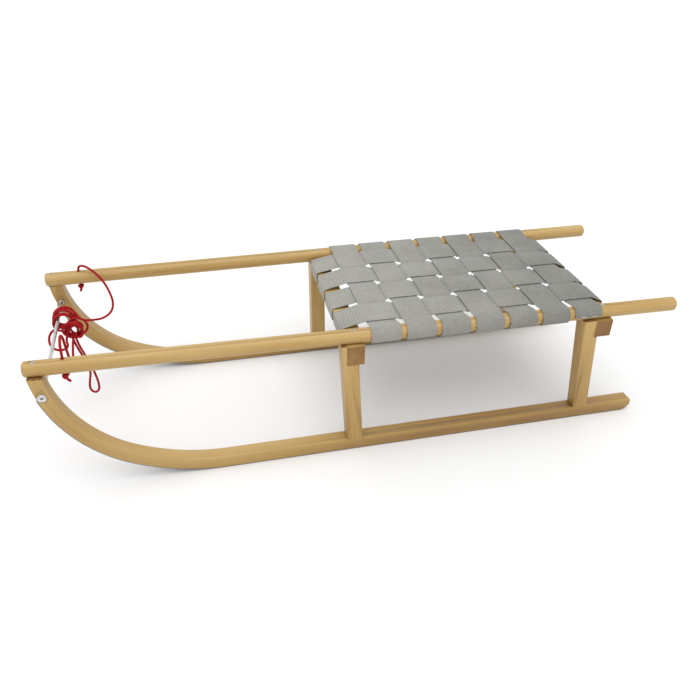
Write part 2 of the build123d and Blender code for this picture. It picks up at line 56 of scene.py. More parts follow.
# %% [markdown]
# ## The camera
#
# A camera is easiest to set from where it stands and which way it looks: how far round, how high,
# and how much it is rolled. A 36 mm lens on a 36 mm sensor sees about as much as an eye does
# when it looks at a sled from one and a half metres.

# %% Camera
camera_place = Vector((0.2864, 1.0881, 0.8363))
camera_azimuth = math.radians(165.788)
camera_elevation = math.radians(33.266)
camera_roll = math.radians(1.379)
camera_lens = 36.04


def camera_turn(azimuth, elevation, roll):
    """Camera axes as a matrix: its right, its up and its back."""
    level = math.cos(elevation)
    back = Vector((math.sin(azimuth) * level, -math.cos(azimuth) * level, math.sin(elevation)))
    right = (-back).cross(Vector((0, 0, 1))).normalized()
    up = back.cross(right)
    rolled_right = math.cos(roll) * right + math.sin(roll) * up
    rolled_up = math.cos(roll) * up - math.sin(roll) * right
    return Matrix((rolled_right, rolled_up, back)).transposed().to_4x4()


camera = bpy.data.objects.new("camera", bpy.data.cameras.new("camera"))
camera.data.lens = camera_lens
camera.data.sensor_width = 36.0
turn = camera_turn(camera_azimuth, camera_elevation, camera_roll)
camera.matrix_world = Matrix.Translation(camera_place) @ turn
collection.objects.link(camera)
bpy.context.scene.camera = camera
print("camera", [round(c, 3) for c in camera.location])

# %% [markdown]
# ## A workbench for nodes
#
# Shader nodes and geometry nodes are both wired by hand in the editor. In a script they read
# better as sums: `light * (1 - stripe)`. The class `Value` wraps one output socket and turns
# each sum into a Math node, and `Workbench.node` makes every other kind of node.

# %% Workbench


class Value:
    """An output socket that can be added, multiplied and compared."""

    def __init__(self, bench, socket):
        self.bench = bench
        self.socket = socket

    def sum(self, operation, first, second=None):
        return self.bench.node("ShaderNodeMath", {"operation": operation}, {0: first, 1: second})

    def __add__(self, other):
        return self.sum("ADD", self, other)

    def __radd__(self, other):
        return self.sum("ADD", other, self)

    def __sub__(self, other):
        return self.sum("SUBTRACT", self, other)

    def __rsub__(self, other):
        return self.sum("SUBTRACT", other, self)

    def __mul__(self, other):
        return self.sum("MULTIPLY", self, other)

    def __rmul__(self, other):
        return self.sum("MULTIPLY", other, self)

    def __truediv__(self, other):
        return self.sum("DIVIDE", self, other)

    def power(self, other):
        return self.sum("POWER", self, other)

    def sine(self):
        return self.sum("SINE", self)

    def size(self):
        return self.sum("ABSOLUTE", self)

    def other(self, name):
        """Another output of the same node."""
        return Value(self.bench, self.socket.node.outputs[name])


class Workbench:
    """A node tree that is being built."""

    def __init__(self, tree):
        self.tree = tree

    def node(self, kind, settings=None, inputs=None, output=0):
        made = self.tree.nodes.new(kind)
        for name, setting in (settings or {}).items():
            if name == "stops":
                self.set_stops(made.color_ramp, setting)
            else:
                setattr(made, name, setting)
        for key, value in (inputs or {}).items():
            if isinstance(value, Value):
                self.tree.links.new(value.socket, made.inputs[key])
            elif value is not None:
                made.inputs[key].default_value = value
        return Value(self, made.outputs[output]) if made.outputs else None

    def set_stops(self, ramp, stops):
        """Places and grey levels of a ramp."""
        while len(ramp.elements) < len(stops):
            ramp.elements.new(0.5)
        for element, (place, level) in zip(ramp.elements, stops):
            element.position = place
            element.color = (level, level, level, 1)

    def mix(self, share, first, second):
        """One colour turning into another."""
        settings = {"data_type": "RGBA"}
        return self.node("ShaderNodeMix", settings, {0: share, 6: first, 7: second}, output=2)

    def ramp(self, value, *stops):
        return self.node("ShaderNodeValToRGB", {"stops": stops}, {0: value})

    def noise(self, place, scale, detail=2.0, roughness=0.5):
        inputs = {"Vector": place, "Scale": scale, "Detail": detail, "Roughness": roughness}
        return self.node("ShaderNodeTexNoise", {}, inputs)


def new_finish(name):
    """An empty material with one shader: its workbench, the shader and the material."""
    material = bpy.data.materials.new(name)
    material.use_nodes = True
    material.node_tree.nodes.clear()
    bench = Workbench(material.node_tree)
    shader = bench.node("ShaderNodeBsdfPrincipled")
    bench.node("ShaderNodeOutputMaterial", {}, {"Surface": shader})
    return bench, shader.socket.node, material


def feed(bench, shader, **values):
    """Links or sets the shader's sockets; an underscore stands for a space."""
    for name, value in values.items():
        socket = shader.inputs[name.replace("_", " ")]
        if isinstance(value, Value):
            bench.tree.links.new(value.socket, socket)
        else:
            socket.default_value = value


print("workbench ready")

# %% [markdown]
# ## The pull cord
#
# The cord is one length of 4 mm braid. Each end has a stopper knot under the front of a rail, comes up
# through a hole in the rail and drops to the tie rod, where the spare length is wound loosely
# round the rod, with two slack loops hanging out. A spline that passes near a few given
# points gives the even curves of a limp cord. The wound part is more points of the same spline,
# worked out turn by turn, each turn a different size so that they fan out. Where one part leaves
# for the next, the line bends more tightly than the cord is thick: a known fault.

# %% Route of the cord
cord_diameter = 0.004
knot_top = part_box("left_knot")[1].z
hole_x = 0.491
hole_y = (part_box("left_knot")[0].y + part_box("left_knot")[1].y) / 2

right_route = [
    (hole_x, -hole_y, knot_top), (hole_x, -hole_y, 0.231), (0.490, -0.1465, 0.249),
    (0.479, -0.1415, 0.2525), (0.463, -0.133, 0.2435), (0.448, -0.124, 0.227),
    (0.439, -0.1145, 0.208), (0.4345, -0.106, 0.189), (0.440, -0.0985, 0.1735),
    (0.456, -0.090, 0.1665), (0.474, -0.083, 0.1695), (0.492, -0.076, 0.175)]

long_loop_route = [
    (0.512, -0.062, 0.164), (0.5075, -0.055, 0.141), (0.4995, -0.0515, 0.118),
    (0.4935, -0.0515, 0.096), (0.491, -0.052, 0.076), (0.4955, -0.0525, 0.059),
    (0.4985, -0.053, 0.045), (0.497, -0.053, 0.034), (0.4895, -0.053, 0.0285),
    (0.4825, -0.0527, 0.035), (0.481, -0.052, 0.049), (0.483, -0.051, 0.070),
    (0.4875, -0.0495, 0.094), (0.493, -0.0475, 0.118), (0.5005, -0.049, 0.141),
    (0.5045, -0.056, 0.161)]

loose_loop_route = [
    (0.524, -0.068, 0.170), (0.538, -0.052, 0.175), (0.543, -0.030, 0.174),
    (0.539, -0.008, 0.170), (0.529, 0.003, 0.166), (0.516, 0.0, 0.163),
    (0.511, -0.016, 0.160), (0.517, -0.036, 0.161), (0.514, -0.056, 0.166)]

left_route = [
    (0.506, -0.060, 0.162), (0.508, -0.036, 0.149), (0.506, -0.008, 0.144),
    (0.5035, 0.022, 0.145), (0.499, 0.050, 0.154), (0.4945, 0.074, 0.170),
    (0.4915, 0.092, 0.192), (0.4905, 0.104, 0.217), (0.4902, 0.1115, 0.242),
    (0.4902, 0.117, 0.260), (0.4903, 0.1275, 0.2685), (0.4906, 0.1395, 0.266),
    (0.4908, 0.146, 0.254), (hole_x, hole_y, 0.234), (hole_x, hole_y, knot_top)]


def wound_turns(turns, centre, drift, radius, swing, start_angle, y_range):
    """Points of loose turns round an axis across the sled, each turn a little different."""
    per_turn = 12
    points = []
    for step in range(round(turns * per_turn) + 1):
        turn = step / per_turn
        angle = math.radians(start_angle) + 2 * math.pi * turn
        reach = radius + swing * math.sin(2.3 * turn)
        x = centre[0] + drift[0] * math.sin(1.7 * turn) + reach * math.sin(angle)
        z = centre[1] + drift[1] * math.sin(2.9 * turn) + reach * math.cos(angle)
        share = turn / turns
        y = y_range[0] + (y_range[1] - y_range[0]) * share + 0.003 * math.sin(5.0 * turn)
        points.append((x, y, z))
    return points


rod_turns = wound_turns(5.6, (0.5225, 0.1745), (0.0004, 0.0004), 0.0177, 0.0016, -60, (-0.103, -0.074))
back_turns = wound_turns(4.4, (0.501, 0.1695), (0.004, 0.003), 0.0135, 0.0045, 200, (-0.046, -0.070))
last_turn = wound_turns(1.5, (0.508, 0.168), (0.0, 0.0), 0.011, 0.0, 60, (-0.062, -0.052))
cord_points = (right_route + rod_turns + long_loop_route + back_turns + loose_loop_route
               + last_turn + left_route)
print("cord points", len(cord_points))


# %% Spline and its measured line


def smooth_line(name, points, resolution=8):
    """Points along one smooth spline that is drawn in by the control points."""
    curve = bpy.data.curves.new(name, "CURVE")
    curve.dimensions = "3D"
    curve.resolution_u = resolution
    spline = curve.splines.new("NURBS")
    spline.points.add(len(points) - 1)
    for point, place in zip(spline.points, points):
        point.co = (*place, 1)
    spline.order_u = 3
    spline.use_endpoint_u = True
    holder = bpy.data.objects.new(name, curve)
    collection.objects.link(holder)
    graph = bpy.context.evaluated_depsgraph_get()
    mesh = bpy.data.meshes.new_from_object(holder.evaluated_get(graph))
    line = np.array([v.co for v in mesh.vertices])
    bpy.data.objects.remove(holder)
    bpy.data.meshes.remove(mesh)
    return line


def even_line(line, spacing):
    """The same line with evenly spaced points."""
    steps = np.linalg.norm(np.diff(line, axis=0), axis=1)
    keep = np.concatenate([[True], steps > 1e-7])
    line = line[keep]
    along = np.concatenate([[0], np.cumsum(np.linalg.norm(np.diff(line, axis=0), axis=1))])
    places = np.linspace(0, along[-1], max(int(along[-1] / spacing), 2))
    return np.stack([np.interp(places, along, line[:, k]) for k in range(3)], axis=1), along[-1]


cord_line, cord_length = even_line(smooth_line("cord_route", cord_points), 0.00075)
print("cord length", round(float(cord_length), 4), "rings", len(cord_line))

# %% [markdown]
# ## Braid
#
# A braided cord shows small diamonds where its strands cross. A bevelled curve would be a plain
# wire, so the tube is built ring by ring along the line instead: each ring is turned as little
# as possible from the last, and every point is pushed out where a strand passes over. Its UV map
# runs along and round the cord, for the finish to follow.

# %% Braided tube
braid_sides = 24
braid_strands = 6
braid_pitch = 0.0042
braid_depth = 0.00016
braid_mean, braid_swing = 0.85, 0.15
end_run, end_start = 0.3, 0.35


def ring_frames(line):
    """Two directions across the line at each point, turned as little as possible."""
    ahead = np.gradient(line, axis=0)
    ahead /= np.linalg.norm(ahead, axis=1)[:, None]
    start = np.cross(ahead[0], (0.0, 0.0, 1.0))
    if np.linalg.norm(start) < 0.1:
        start = np.cross(ahead[0], (0.0, 1.0, 0.0))
    side = np.empty_like(line)
    side[0] = start / np.linalg.norm(start)
    for k in range(1, len(line)):
        across = side[k - 1] - ahead[k] * (side[k - 1] @ ahead[k])
        side[k] = across / np.linalg.norm(across)
    return side, np.cross(ahead, side)


def braided_tube(name, line, diameter):
    """Closed tube with raised strands and a UV map in metres along and turns round."""
    side, up = ring_frames(line)
    rings = len(line)
    along = np.concatenate([[0], np.cumsum(np.linalg.norm(np.diff(line, axis=0), axis=1))])
    angle = np.arange(braid_sides) * 2 * math.pi / braid_sides
    lay = 2 * math.pi * along[:, None] / braid_pitch
    one_way = np.abs(np.cos(braid_strands / 2 * angle[None, :] + lay / 2))
    other_way = np.abs(np.cos(braid_strands / 2 * angle[None, :] - lay / 2))
    lift = np.maximum(one_way, other_way) - braid_mean
    radius = diameter / 2 + braid_depth * lift / braid_swing
    ends = np.minimum(along, along[-1] - along) / (diameter * end_run)
    radius *= np.clip(end_start + ends, 0, 1)[:, None] ** 0.5
    spokes = (np.cos(angle)[None, :, None] * side[:, None, :]
              + np.sin(angle)[None, :, None] * up[:, None, :])
    places = line[:, None, :] + spokes * radius[:, :, None]
    verts = places.reshape(-1, 3).tolist()
    faces = []
    for r in range(rings - 1):
        for k in range(braid_sides):
            nxt = (k + 1) % braid_sides
            a, b = r * braid_sides + k, r * braid_sides + nxt
            faces.append((a, b, b + braid_sides, a + braid_sides))
    faces.append(tuple(reversed(range(braid_sides))))
    faces.append(tuple(range((rings - 1) * braid_sides, rings * braid_sides)))
    mesh = bpy.data.meshes.new(name)
    mesh.from_pydata(verts, [], faces)
    uv = mesh.uv_layers.new(name="cord_run")
    for face in mesh.polygons:
        face.use_smooth = len(face.vertices) == 4
        turn_start = face.vertices[0] % braid_sides
        for loop, corner in zip(face.loop_indices, face.vertices):
            round_share = corner % braid_sides
            if round_share == 0 and turn_start == braid_sides - 1:
                round_share = braid_sides
            uv.data[loop].uv = (along[corner // braid_sides], round_share / braid_sides)
    piece = bpy.data.objects.new(name, mesh)
    collection.objects.link(piece)
    return piece


pull_cord = braided_tube("pull_cord", cord_line, cord_diameter)
print("cord faces", len(pull_cord.data.polygons))

# %% [markdown]
# ## Stopper knots
#
# Under each rail the cord ends in an overhand knot. Its line is part of a trefoil drawn tight: it
# goes round almost one and a half times while it rises and falls. The spline leaves from the
# hole's foot, makes the knot and ends in a short tail.

# %% Knots
knot_top_gap = 0.0006
knot_steps, knot_start, knot_step = 15, -60, 36
knot_reach, knot_reach_swing = 0.0034, 0.0012
knot_drop, knot_drop_swing = 0.0052, 0.0026
tail_leans = {"left": -0.0050, "right": 0.0030}


def knot_route(lean):
    """Control points of an overhand knot below the origin, with its tail."""
    points = [(0.0, 0.0, 0.0), (0.0004, 0.0, -0.0012)]
    for step in range(knot_steps):
        angle = math.radians(knot_start + step * knot_step)
        reach = knot_reach + knot_reach_swing * math.cos(1.5 * angle)
        drop = -knot_drop - knot_drop_swing * math.sin(1.5 * angle)
        points.append((reach * math.cos(angle), reach * math.sin(angle), drop))
    points += [(-0.001, 0.0005, -0.0075), (0.001, 0.0, -0.011), (lean, 0.0, -0.0168)]
    return points


knots = []
for side_name, side in (("left", 1), ("right", -1)):
    foot = Vector((hole_x, side * hole_y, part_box(side_name + "_knot")[1].z - knot_top_gap))
    places = [tuple(foot + Vector((x, y * side, z))) for x, y, z in knot_route(tail_leans[side_name])]
    line, length = even_line(smooth_line(side_name + "_knot_route", places), 0.0005)
    knot = braided_tube("cord_knot_" + side_name, line, cord_diameter)
    knots.append(knot)
    print(knot.name, "line", round(float(length), 4))

# %% [markdown]
# ## Webbing straps
#
# The seat is eleven straps of webbing, the lengthwise ones a little wider. Each cross strap goes
# over the top of both rails and is stapled under them; each lengthwise strap is folded round both
# crossbars. Where they meet, they go over and under by turns. The middle line of a strap is made of
# straight runs and round corners, so it is worked out here as a list of corners and radii.

# %% Corners made round
corner_step = math.radians(6)


def rounded(corners, radii):
    """Points along straight runs with an arc of the given radius at each inner corner."""
    corners = [Vector(c) for c in corners]
    line = [corners[0]]
    for before, corner, after, radius in zip(corners, corners[1:], corners[2:], radii):
        back, on = (before - corner).normalized(), (after - corner).normalized()
        opening = back.angle(on)
        reach = radius / math.tan(opening / 2)
        middle = corner + (back + on).normalized() * (radius / math.sin(opening / 2))
        start = corner + back * reach - middle
        finish = corner + on * reach - middle
        axis = start.cross(finish).normalized()
        sweep = math.pi - opening
        steps = max(int(sweep / corner_step), 3)
        for k in range(steps + 1):
            line.append(middle + Matrix.Rotation(sweep * k / steps, 3, axis) @ start)
    line.append(corners[-1])
    return line


print("arc step", round(math.degrees(corner_step)), "degrees")

# %% Sizes of the weave, read from the frame
strap_thickness = 0.002
weave_gap = 0.0006
cross_straps = [f"cross_strap_{n}" for n in range(1, 8)]
long_straps = [f"long_strap_{n}" for n in range(1, 5)]


def middle(node):
    low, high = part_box(node)
    return (low + high) / 2


cross_xs = [middle(name).x for name in cross_straps]
long_ys = [middle(name).y for name in long_straps]
cross_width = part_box("cross_strap_1")[1].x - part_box("cross_strap_1")[0].x
long_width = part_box("long_strap_1")[1].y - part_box("long_strap_1")[0].y
rise = (strap_thickness + weave_gap) / 2
print("strap widths", round(cross_width, 4), round(long_width, 4))

# %% [markdown]
# ## Ribs by Geometry Nodes
#
# Real webbing is not flat: its thick yarns stand up as ribs straight across the strap. One tree
# makes every strap. It takes the middle line, sweeps a flat section along it, and lifts and
# lowers the two faces in a wave. The place along and across the strap is kept as attributes, so
# that the finish can follow the cloth.

# %% Webbing finish


def webbing_finish():
    """Light grey ribbed polypropylene: matt, with painted shade in the rib valleys and fine yarns;
    lighter towards the front of the seat.
    """
    bench, shader, material = new_finish("webbing")
    ribs = bench.node("ShaderNodeAttribute", {"attribute_name": "ribs"}).other("Fac")
    across = bench.node("ShaderNodeAttribute", {"attribute_name": "across"}).other("Fac")
    place = bench.node("ShaderNodeTexCoord").other("Object")
    forward = bench.node("ShaderNodeSeparateXYZ", {}, {0: place}).other("X")
    # Painted shade: the rib valleys are painted darker.
    painted_valley_shade = (ribs * (2 * math.pi)).sine() * -0.5 + 0.5
    yarn = (across * (2 * math.pi / 0.0014) + (ribs * math.pi).sine() * 1.5).sine()
    patches = bench.noise(place, 13.0, 3.0)
    mottle = bench.noise(place, 120.0, 3.0, 0.6)
    fuzz = bench.noise(place, 900.0, 2.0)
    # Lighter towards the front of the seat and darker towards the rear.
    lighter_to_front = bench.ramp(forward + 0.5, (0.05, 0.0), (0.5, 1.0))
    shade = 0.16 + lighter_to_front * 0.46 - painted_valley_shade * 0.26 + yarn * 0.04
    shade = shade + (patches - 0.5) * 0.5 + (mottle - 0.5) * 0.35 + (fuzz - 0.5) * 0.3
    # The darker grey takes the painted shade of the rib valleys as well as the random patches and the
    # darker rear.
    shade_and_mottle_grey, pale_grey = (0.155, 0.152, 0.135, 1), (0.41, 0.405, 0.365, 1)
    colour = bench.mix(shade, shade_and_mottle_grey, pale_grey)
    bump = bench.node("ShaderNodeBump", {}, {"Strength": 0.35, "Distance": 0.0004,
                                             "Height": yarn * 0.5 + fuzz})
    feed(bench, shader, Base_Color=colour, Roughness=0.82 + (fuzz - 0.5) * 0.2, Normal=bump)
    feed(bench, shader, Sheen_Weight=0.15, Sheen_Roughness=0.5)
    return material


long_rib_pitch, long_rib_height = 0.005, 0.00062
cross_rib_pitch, cross_rib_height = 0.0026, 0.00034
webbing = webbing_finish()
print(webbing.name)


# %% Ribbed webbing tree


def new_tree(name, inputs):
    """A geometry tree with named inputs: its workbench, its input node and the tree."""
    tree = bpy.data.node_groups.new(name, "GeometryNodeTree")
    tree.interface.new_socket(name="Geometry", in_out="INPUT", socket_type="NodeSocketGeometry")
    for label, kind in inputs.items():
        tree.interface.new_socket(name=label, in_out="INPUT", socket_type="NodeSocket" + kind)
    tree.interface.new_socket(name="Geometry", in_out="OUTPUT", socket_type="NodeSocketGeometry")
    bench = Workbench(tree)
    return bench, bench.node("NodeGroupInput"), tree


def end_tree(bench, geometry, material):
    """Real geometry with its material, given out."""
    real = bench.node("GeometryNodeRealizeInstances", {}, {"Geometry": geometry})
    painted = bench.node("GeometryNodeSetMaterial", {}, {"Geometry": real, "Material": material})
    bench.node("NodeGroupOutput", {}, {"Geometry": painted})


def keep(bench, geometry, kinds):
    """Keeps values on the points of a curve while it is made into a mesh."""
    made = bench.tree.nodes.new("GeometryNodeCaptureAttribute")
    bench.tree.links.new(geometry.socket, made.inputs[0])
    kept = []
    for number, (kind, value) in enumerate(kinds):
        made.capture_items.new(kind, f"kept_{number}")
        bench.tree.links.new(value.socket, made.inputs[number + 1])
    for number in range(len(kinds)):
        kept.append(Value(bench, made.outputs[number + 1]))
    return Value(bench, made.outputs[0]), kept


def vector_sum(bench, operation, first, second, output=0):
    settings = {"operation": operation}
    return bench.node("ShaderNodeVectorMath", settings, {0: first, 1: second}, output=output)


def webbing_tree():
    inputs = {"Width": "Float", "Thickness": "Float", "Rib Pitch": "Float",
              "Rib Height": "Float", "Across": "Vector"}
    bench, given, tree = new_tree("ribbed webbing", inputs)
    width, thickness = given.other("Width"), given.other("Thickness")
    pitch, across = given.other("Rib Pitch"), given.other("Across")
    line = bench.node("GeometryNodeResampleCurve", {"mode": "LENGTH"},
                      {"Curve": given.other("Geometry"), "Length": pitch / 10.0})
    run = bench.node("GeometryNodeSplineParameter").other("Length")
    here = bench.node("GeometryNodeInputPosition")
    ahead = bench.node("GeometryNodeInputTangent")
    line, (run, centre, ahead) = keep(
        bench, line, [("FLOAT", run), ("VECTOR", here), ("VECTOR", ahead)])
    section = bench.node("GeometryNodeCurvePrimitiveQuadrilateral", {},
                         {"Width": width, "Height": thickness})
    section = bench.node("GeometryNodeFilletCurve", {"mode": "POLY"},
                         {"Curve": section, "Count": 2, "Radius": thickness * 0.42})
    strap = bench.node("GeometryNodeCurveToMesh", {},
                       {"Curve": line, "Profile Curve": section, "Fill Caps": True})
    up = vector_sum(bench, "CROSS_PRODUCT", ahead, across)
    offset = vector_sum(bench, "SUBTRACT", here, centre)
    height = vector_sum(bench, "DOT_PRODUCT", offset, up, output=1)
    sideways = vector_sum(bench, "DOT_PRODUCT", offset, across, output=1)
    ribs = run / pitch
    wave = (ribs * (2 * math.pi)).sine()
    lift = height / thickness * wave * given.other("Rib Height")
    rise = bench.node("ShaderNodeVectorMath", {"operation": "SCALE"}, {0: up, 3: lift})
    strap = bench.node("GeometryNodeSetPosition", {}, {"Geometry": strap, "Offset": rise})
    for label, value in (("ribs", ribs), ("across", sideways)):
        strap = bench.node("GeometryNodeStoreNamedAttribute", {"data_type": "FLOAT", "domain": "POINT"},
                           {"Geometry": strap, "Name": label, "Value": value})
    end_tree(bench, strap, webbing)
    return tree


def set_inputs(modifier, values):
    """Modifier inputs by their names in the tree."""
    for item in modifier.node_group.interface.items_tree:
        if item.in_out == "INPUT" and item.name in values:
            modifier[item.identifier] = values[item.name]


def plain_mesh(holder, name):
    """What the modifiers make of an object, as a mesh piece of its own."""
    graph = bpy.context.evaluated_depsgraph_get()
    graph.update()
    mesh = bpy.data.meshes.new_from_object(holder.evaluated_get(graph))
    piece = bpy.data.objects.new(name, mesh)
    mesh.name = name
    collection.objects.link(piece)
    bpy.data.objects.remove(holder)
    return piece


def outward(piece, smooth_angle):
    """Merges doubles, turns faces outwards and shades smooth below an angle."""
    shape = bmesh.new()
    shape.from_mesh(piece.data)
    bmesh.ops.remove_doubles(shape, verts=shape.verts, dist=1e-7)
    bmesh.ops.recalc_face_normals(shape, faces=shape.faces)
    shape.to_mesh(piece.data)
    shape.free()
    piece.data.polygons.foreach_set("use_smooth", [True] * len(piece.data.polygons))
    piece.data.set_sharp_from_angle(angle=smooth_angle)


webbing_nodes = webbing_tree()
print("tree nodes", len(webbing_nodes.nodes))

# %% [markdown]
# ## Weave
#
# A cross strap starts under one rail, goes up the outside, over the top and across to the other
# rail; the last one starts on the outer side. A lengthwise strap does the same round the two
# crossbars. Between, each strap is level
# where it crosses another and slopes in the gaps, high over one and low under the next.

# %% Middle lines of the straps
strap_offset = 0.0015
fold_ease = 0.0002
crossbar_edge_radius = 0.002
slope_start = 0.003
seat_drop = 0.0025
rail_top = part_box("left_rail")[1].z
rail_radius = (rail_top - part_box("left_rail")[0].z) / 2
rail_corner = rail_radius + strap_offset - fold_ease
crossbar_corner = crossbar_edge_radius + strap_offset
weave_bend = 0.006
flat_margin = 0.0015
seat_level = rail_top - seat_drop
under_lap = 0.018
long_lap = 0.024


def weave_corners(centres, crossed_width, over_first):
    """Level stretches over and under the straps that are crossed: (place, height)."""
    corners = []
    step = 1 if centres[-1] > centres[0] else -1
    flat = step * (crossed_width / 2 + flat_margin)
    for number, centre in enumerate(centres):
        over = over_first == (number % 2 == 0)
        height = seat_level + (rise if over else -rise)
        corners += [(centre - flat, height), (centre + flat, height)]
    return corners


def cross_line(number):
    low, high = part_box(cross_straps[number])
    x = cross_xs[number]
    outer, top = high.y - strap_thickness / 2, high.z - strap_thickness / 2
    under = low.z + strap_thickness / 2
    over = outer - strap_offset - rail_radius - slope_start
    side, side_radii = [(outer - under_lap, under), (outer, under)], [rail_corner]
    if number == len(cross_straps) - 1:
        side, side_radii = [(outer, low.z)], []
    near = side + [(outer, top), (over, top)]
    weave = weave_corners(long_ys, long_width, number % 2 == 0)
    path = [(-y, z) for y, z in near] + weave + list(reversed(near))
    wraps = side_radii + [rail_corner, weave_bend]
    radii = wraps + [weave_bend] * len(weave) + wraps[::-1]
    return [(x, y, z) for y, z in path], radii


def long_line(number):
    low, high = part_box(long_straps[number])
    y = long_ys[number]
    front, rear = high.x - strap_thickness / 2, low.x + strap_thickness / 2
    under = low.z + strap_thickness / 2
    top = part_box("front_crossbar")[1].z + strap_offset
    weave = weave_corners(cross_xs, cross_width, number % 2 == 1)
    path = [(front - long_lap, under), (front, under), (front, top)] + weave
    path += [(rear, top), (rear, under), (rear + long_lap, under)]
    folds = [crossbar_corner] * 2
    return [(x, y, z) for x, z in path], folds + [weave_bend] * len(weave) + folds


def line_length(line):
    return sum((b - a).length for a, b in zip(line, line[1:]))


def make_strap(node, name, corners, radii, across, width, pitch, height):
    """One ribbed strap that stands for its plain strap: the piece, its width and its cut length."""
    line = rounded(corners, radii)
    curve = bpy.data.curves.new(name, "CURVE")
    curve.dimensions = "3D"
    spline = curve.splines.new("POLY")
    spline.points.add(len(line) - 1)
    # Without the quarter turn, the section of a line that starts upright would stand on edge.
    starts_upright = abs((line[1] - line[0]).normalized().z) > 0.9
    for point, place in zip(spline.points, line):
        point.co = (*place, 1)
        point.tilt = math.pi / 2 if starts_upright else 0.0
    holder = bpy.data.objects.new(name + "_line", curve)
    collection.objects.link(holder)
    modifier = holder.modifiers.new("webbing", "NODES")
    modifier.node_group = webbing_nodes
    set_inputs(modifier, {"Width": width, "Thickness": strap_thickness - height / 2,
                          "Rib Pitch": pitch, "Rib Height": height, "Across": across})
    piece = plain_mesh(holder, name)
    outward(piece, math.radians(50))
    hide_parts(node)
    return piece, width, line_length(line)


straps = []
for number, node in enumerate(cross_straps):
    corners, radii = cross_line(number)
    straps.append(make_strap(node, f"webbing_across_{number + 1}", corners, radii, (1, 0, 0),
                             cross_width, cross_rib_pitch, cross_rib_height))
for number, node in enumerate(long_straps):
    corners, radii = long_line(number)
    straps.append(make_strap(node, f"webbing_along_{number + 1}", corners, radii, (0, 1, 0),
                             long_width, long_rib_pitch, long_rib_height))
print("strap cut lengths", [round(length, 3) for piece, width, length in straps])
print("strap faces", len(straps[0][0].data.polygons))

# %% [markdown]
# ## Wood
#
# Varnished beech is honey coloured, with long fine fibres, faint growth lines and soft darker
# stretches. The pattern has to run with the grain: along a rail, up a leg, and round the bend of
# a runner. So each wooden piece is a merged copy of its plain solid that carries one attribute,
# `grain_place`: how far along the grain each point is, and how far from the heart of the board.

# %% Wood finish


def wood_finish():
    """Clear varnished beech with fibres, growth lines and end grain, darker and rougher towards the
    floor.
    """
    bench, shader, material = new_finish("wood")
    place = bench.node("ShaderNodeAttribute", {"attribute_name": "grain_place"}).other("Vector")
    end = bench.node("ShaderNodeAttribute", {"attribute_name": "end_grain"}).other("Fac")
    low = bench.node("ShaderNodeAttribute", {"attribute_name": "ground_wear"}).other("Fac")

    def stretched(along, over):
        return vector_sum(bench, "MULTIPLY", place, (along, over, over))

    drift = bench.noise(stretched(1.6, 12.0), 1.0, 2.0)
    wide = bench.noise(stretched(2.6, 34.0), 1.0, 3.0)
    fibres = bench.noise(stretched(14.0, 620.0), 1.0, 3.0, 0.65)
    flecks = bench.noise(stretched(70.0, 1500.0), 1.0, 1.0)
    rings_place = vector_sum(bench, "ADD", stretched(0.35, 1.0), (0.0, 0.031, 0.052))
    apart = bench.node("ShaderNodeSeparateXYZ", {}, {0: rings_place})
    over, depth = apart.other("Y"), apart.other("Z")
    reach = (over * over + depth * depth).power(0.5)
    ring = ((reach + (drift - 0.5) * 0.016) * (2 * math.pi / 0.0034)).sine() * 0.5 + 0.5
    ring = ring.power(3.0) * bench.ramp(wide, (0.35, 0.0), (0.65, 1.0))
    shade = 0.52 + (wide - 0.5) * 1.1 + (fibres - 0.5) * 0.34 - ring * 0.14 + (drift - 0.5) * 0.7
    # Darker towards the floor.
    shade = shade - end * 0.65 - low * 0.22
    pale = (0.50, 0.335, 0.125, 1)
    honey = (0.39, 0.238, 0.066, 1)
    brown = (0.22, 0.105, 0.024, 1)
    colour = bench.mix(bench.ramp(shade, (0.0, 0.0), (0.42, 1.0)), brown, honey)
    colour = bench.mix(bench.ramp(shade, (0.38, 0.0), (0.8, 1.0)), colour, pale)
    fleck = bench.ramp(flecks, (0.62, 0.0), (0.74, 1.0)) * (1.0 - end) * 0.28
    colour = bench.mix(fleck, colour, brown)
    rough = 0.40 + (fibres - 0.5) * 0.25 + end * 0.2 + low * 0.25
    bump = bench.node("ShaderNodeBump", {}, {"Strength": 0.22, "Distance": 0.0003,
                                             "Height": fibres - ring * 0.3 - fleck})
    feed(bench, shader, Base_Color=colour, Roughness=rough, Normal=bump)
    feed(bench, shader, Coat_Weight=0.06, Coat_Roughness=0.3)
    return material


wood = wood_finish()
print(wood.name)

# %% Wooden pieces
end_limit = 0.75


def merged_copy(node, name, smooth_angle=math.radians(32)):
    """A merged copy of a plain solid, shaded smooth on its round parts."""
    piece = bpy.data.objects.new(name, nodes[node].data.copy())
    piece.data.name = name
    collection.objects.link(piece)
    shape = bmesh.new()
    shape.from_mesh(piece.data)
    bmesh.ops.remove_doubles(shape, verts=shape.verts, dist=2e-6)
    shape.to_mesh(piece.data)
    shape.free()
    piece.data.materials.clear()
    piece.data.polygons.foreach_set("use_smooth", [True] * len(piece.data.polygons))
    piece.data.set_sharp_from_angle(angle=smooth_angle)
    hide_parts(node)
    return piece


def straight_grain(axis, shift):
    """Grain along a straight axis: place along it, and across it both ways."""
    axis = Vector(axis).normalized()
    helper = Vector((0, 0, 1)) if abs(axis.z) < 0.5 else Vector((1, 0, 0))
    side = axis.cross(helper).normalized()
    other = side.cross(axis)

    def place(co):
        return Vector((co.dot(axis), co.dot(side), co.dot(other))) + shift, axis
    return place


def add_attribute(mesh, name, kind, domain, field, values):
    """Writes one attribute in one go."""
    made = mesh.attributes.new(name, kind, domain)
    made.data.foreach_set(field, np.array(values, dtype=np.float32).ravel())


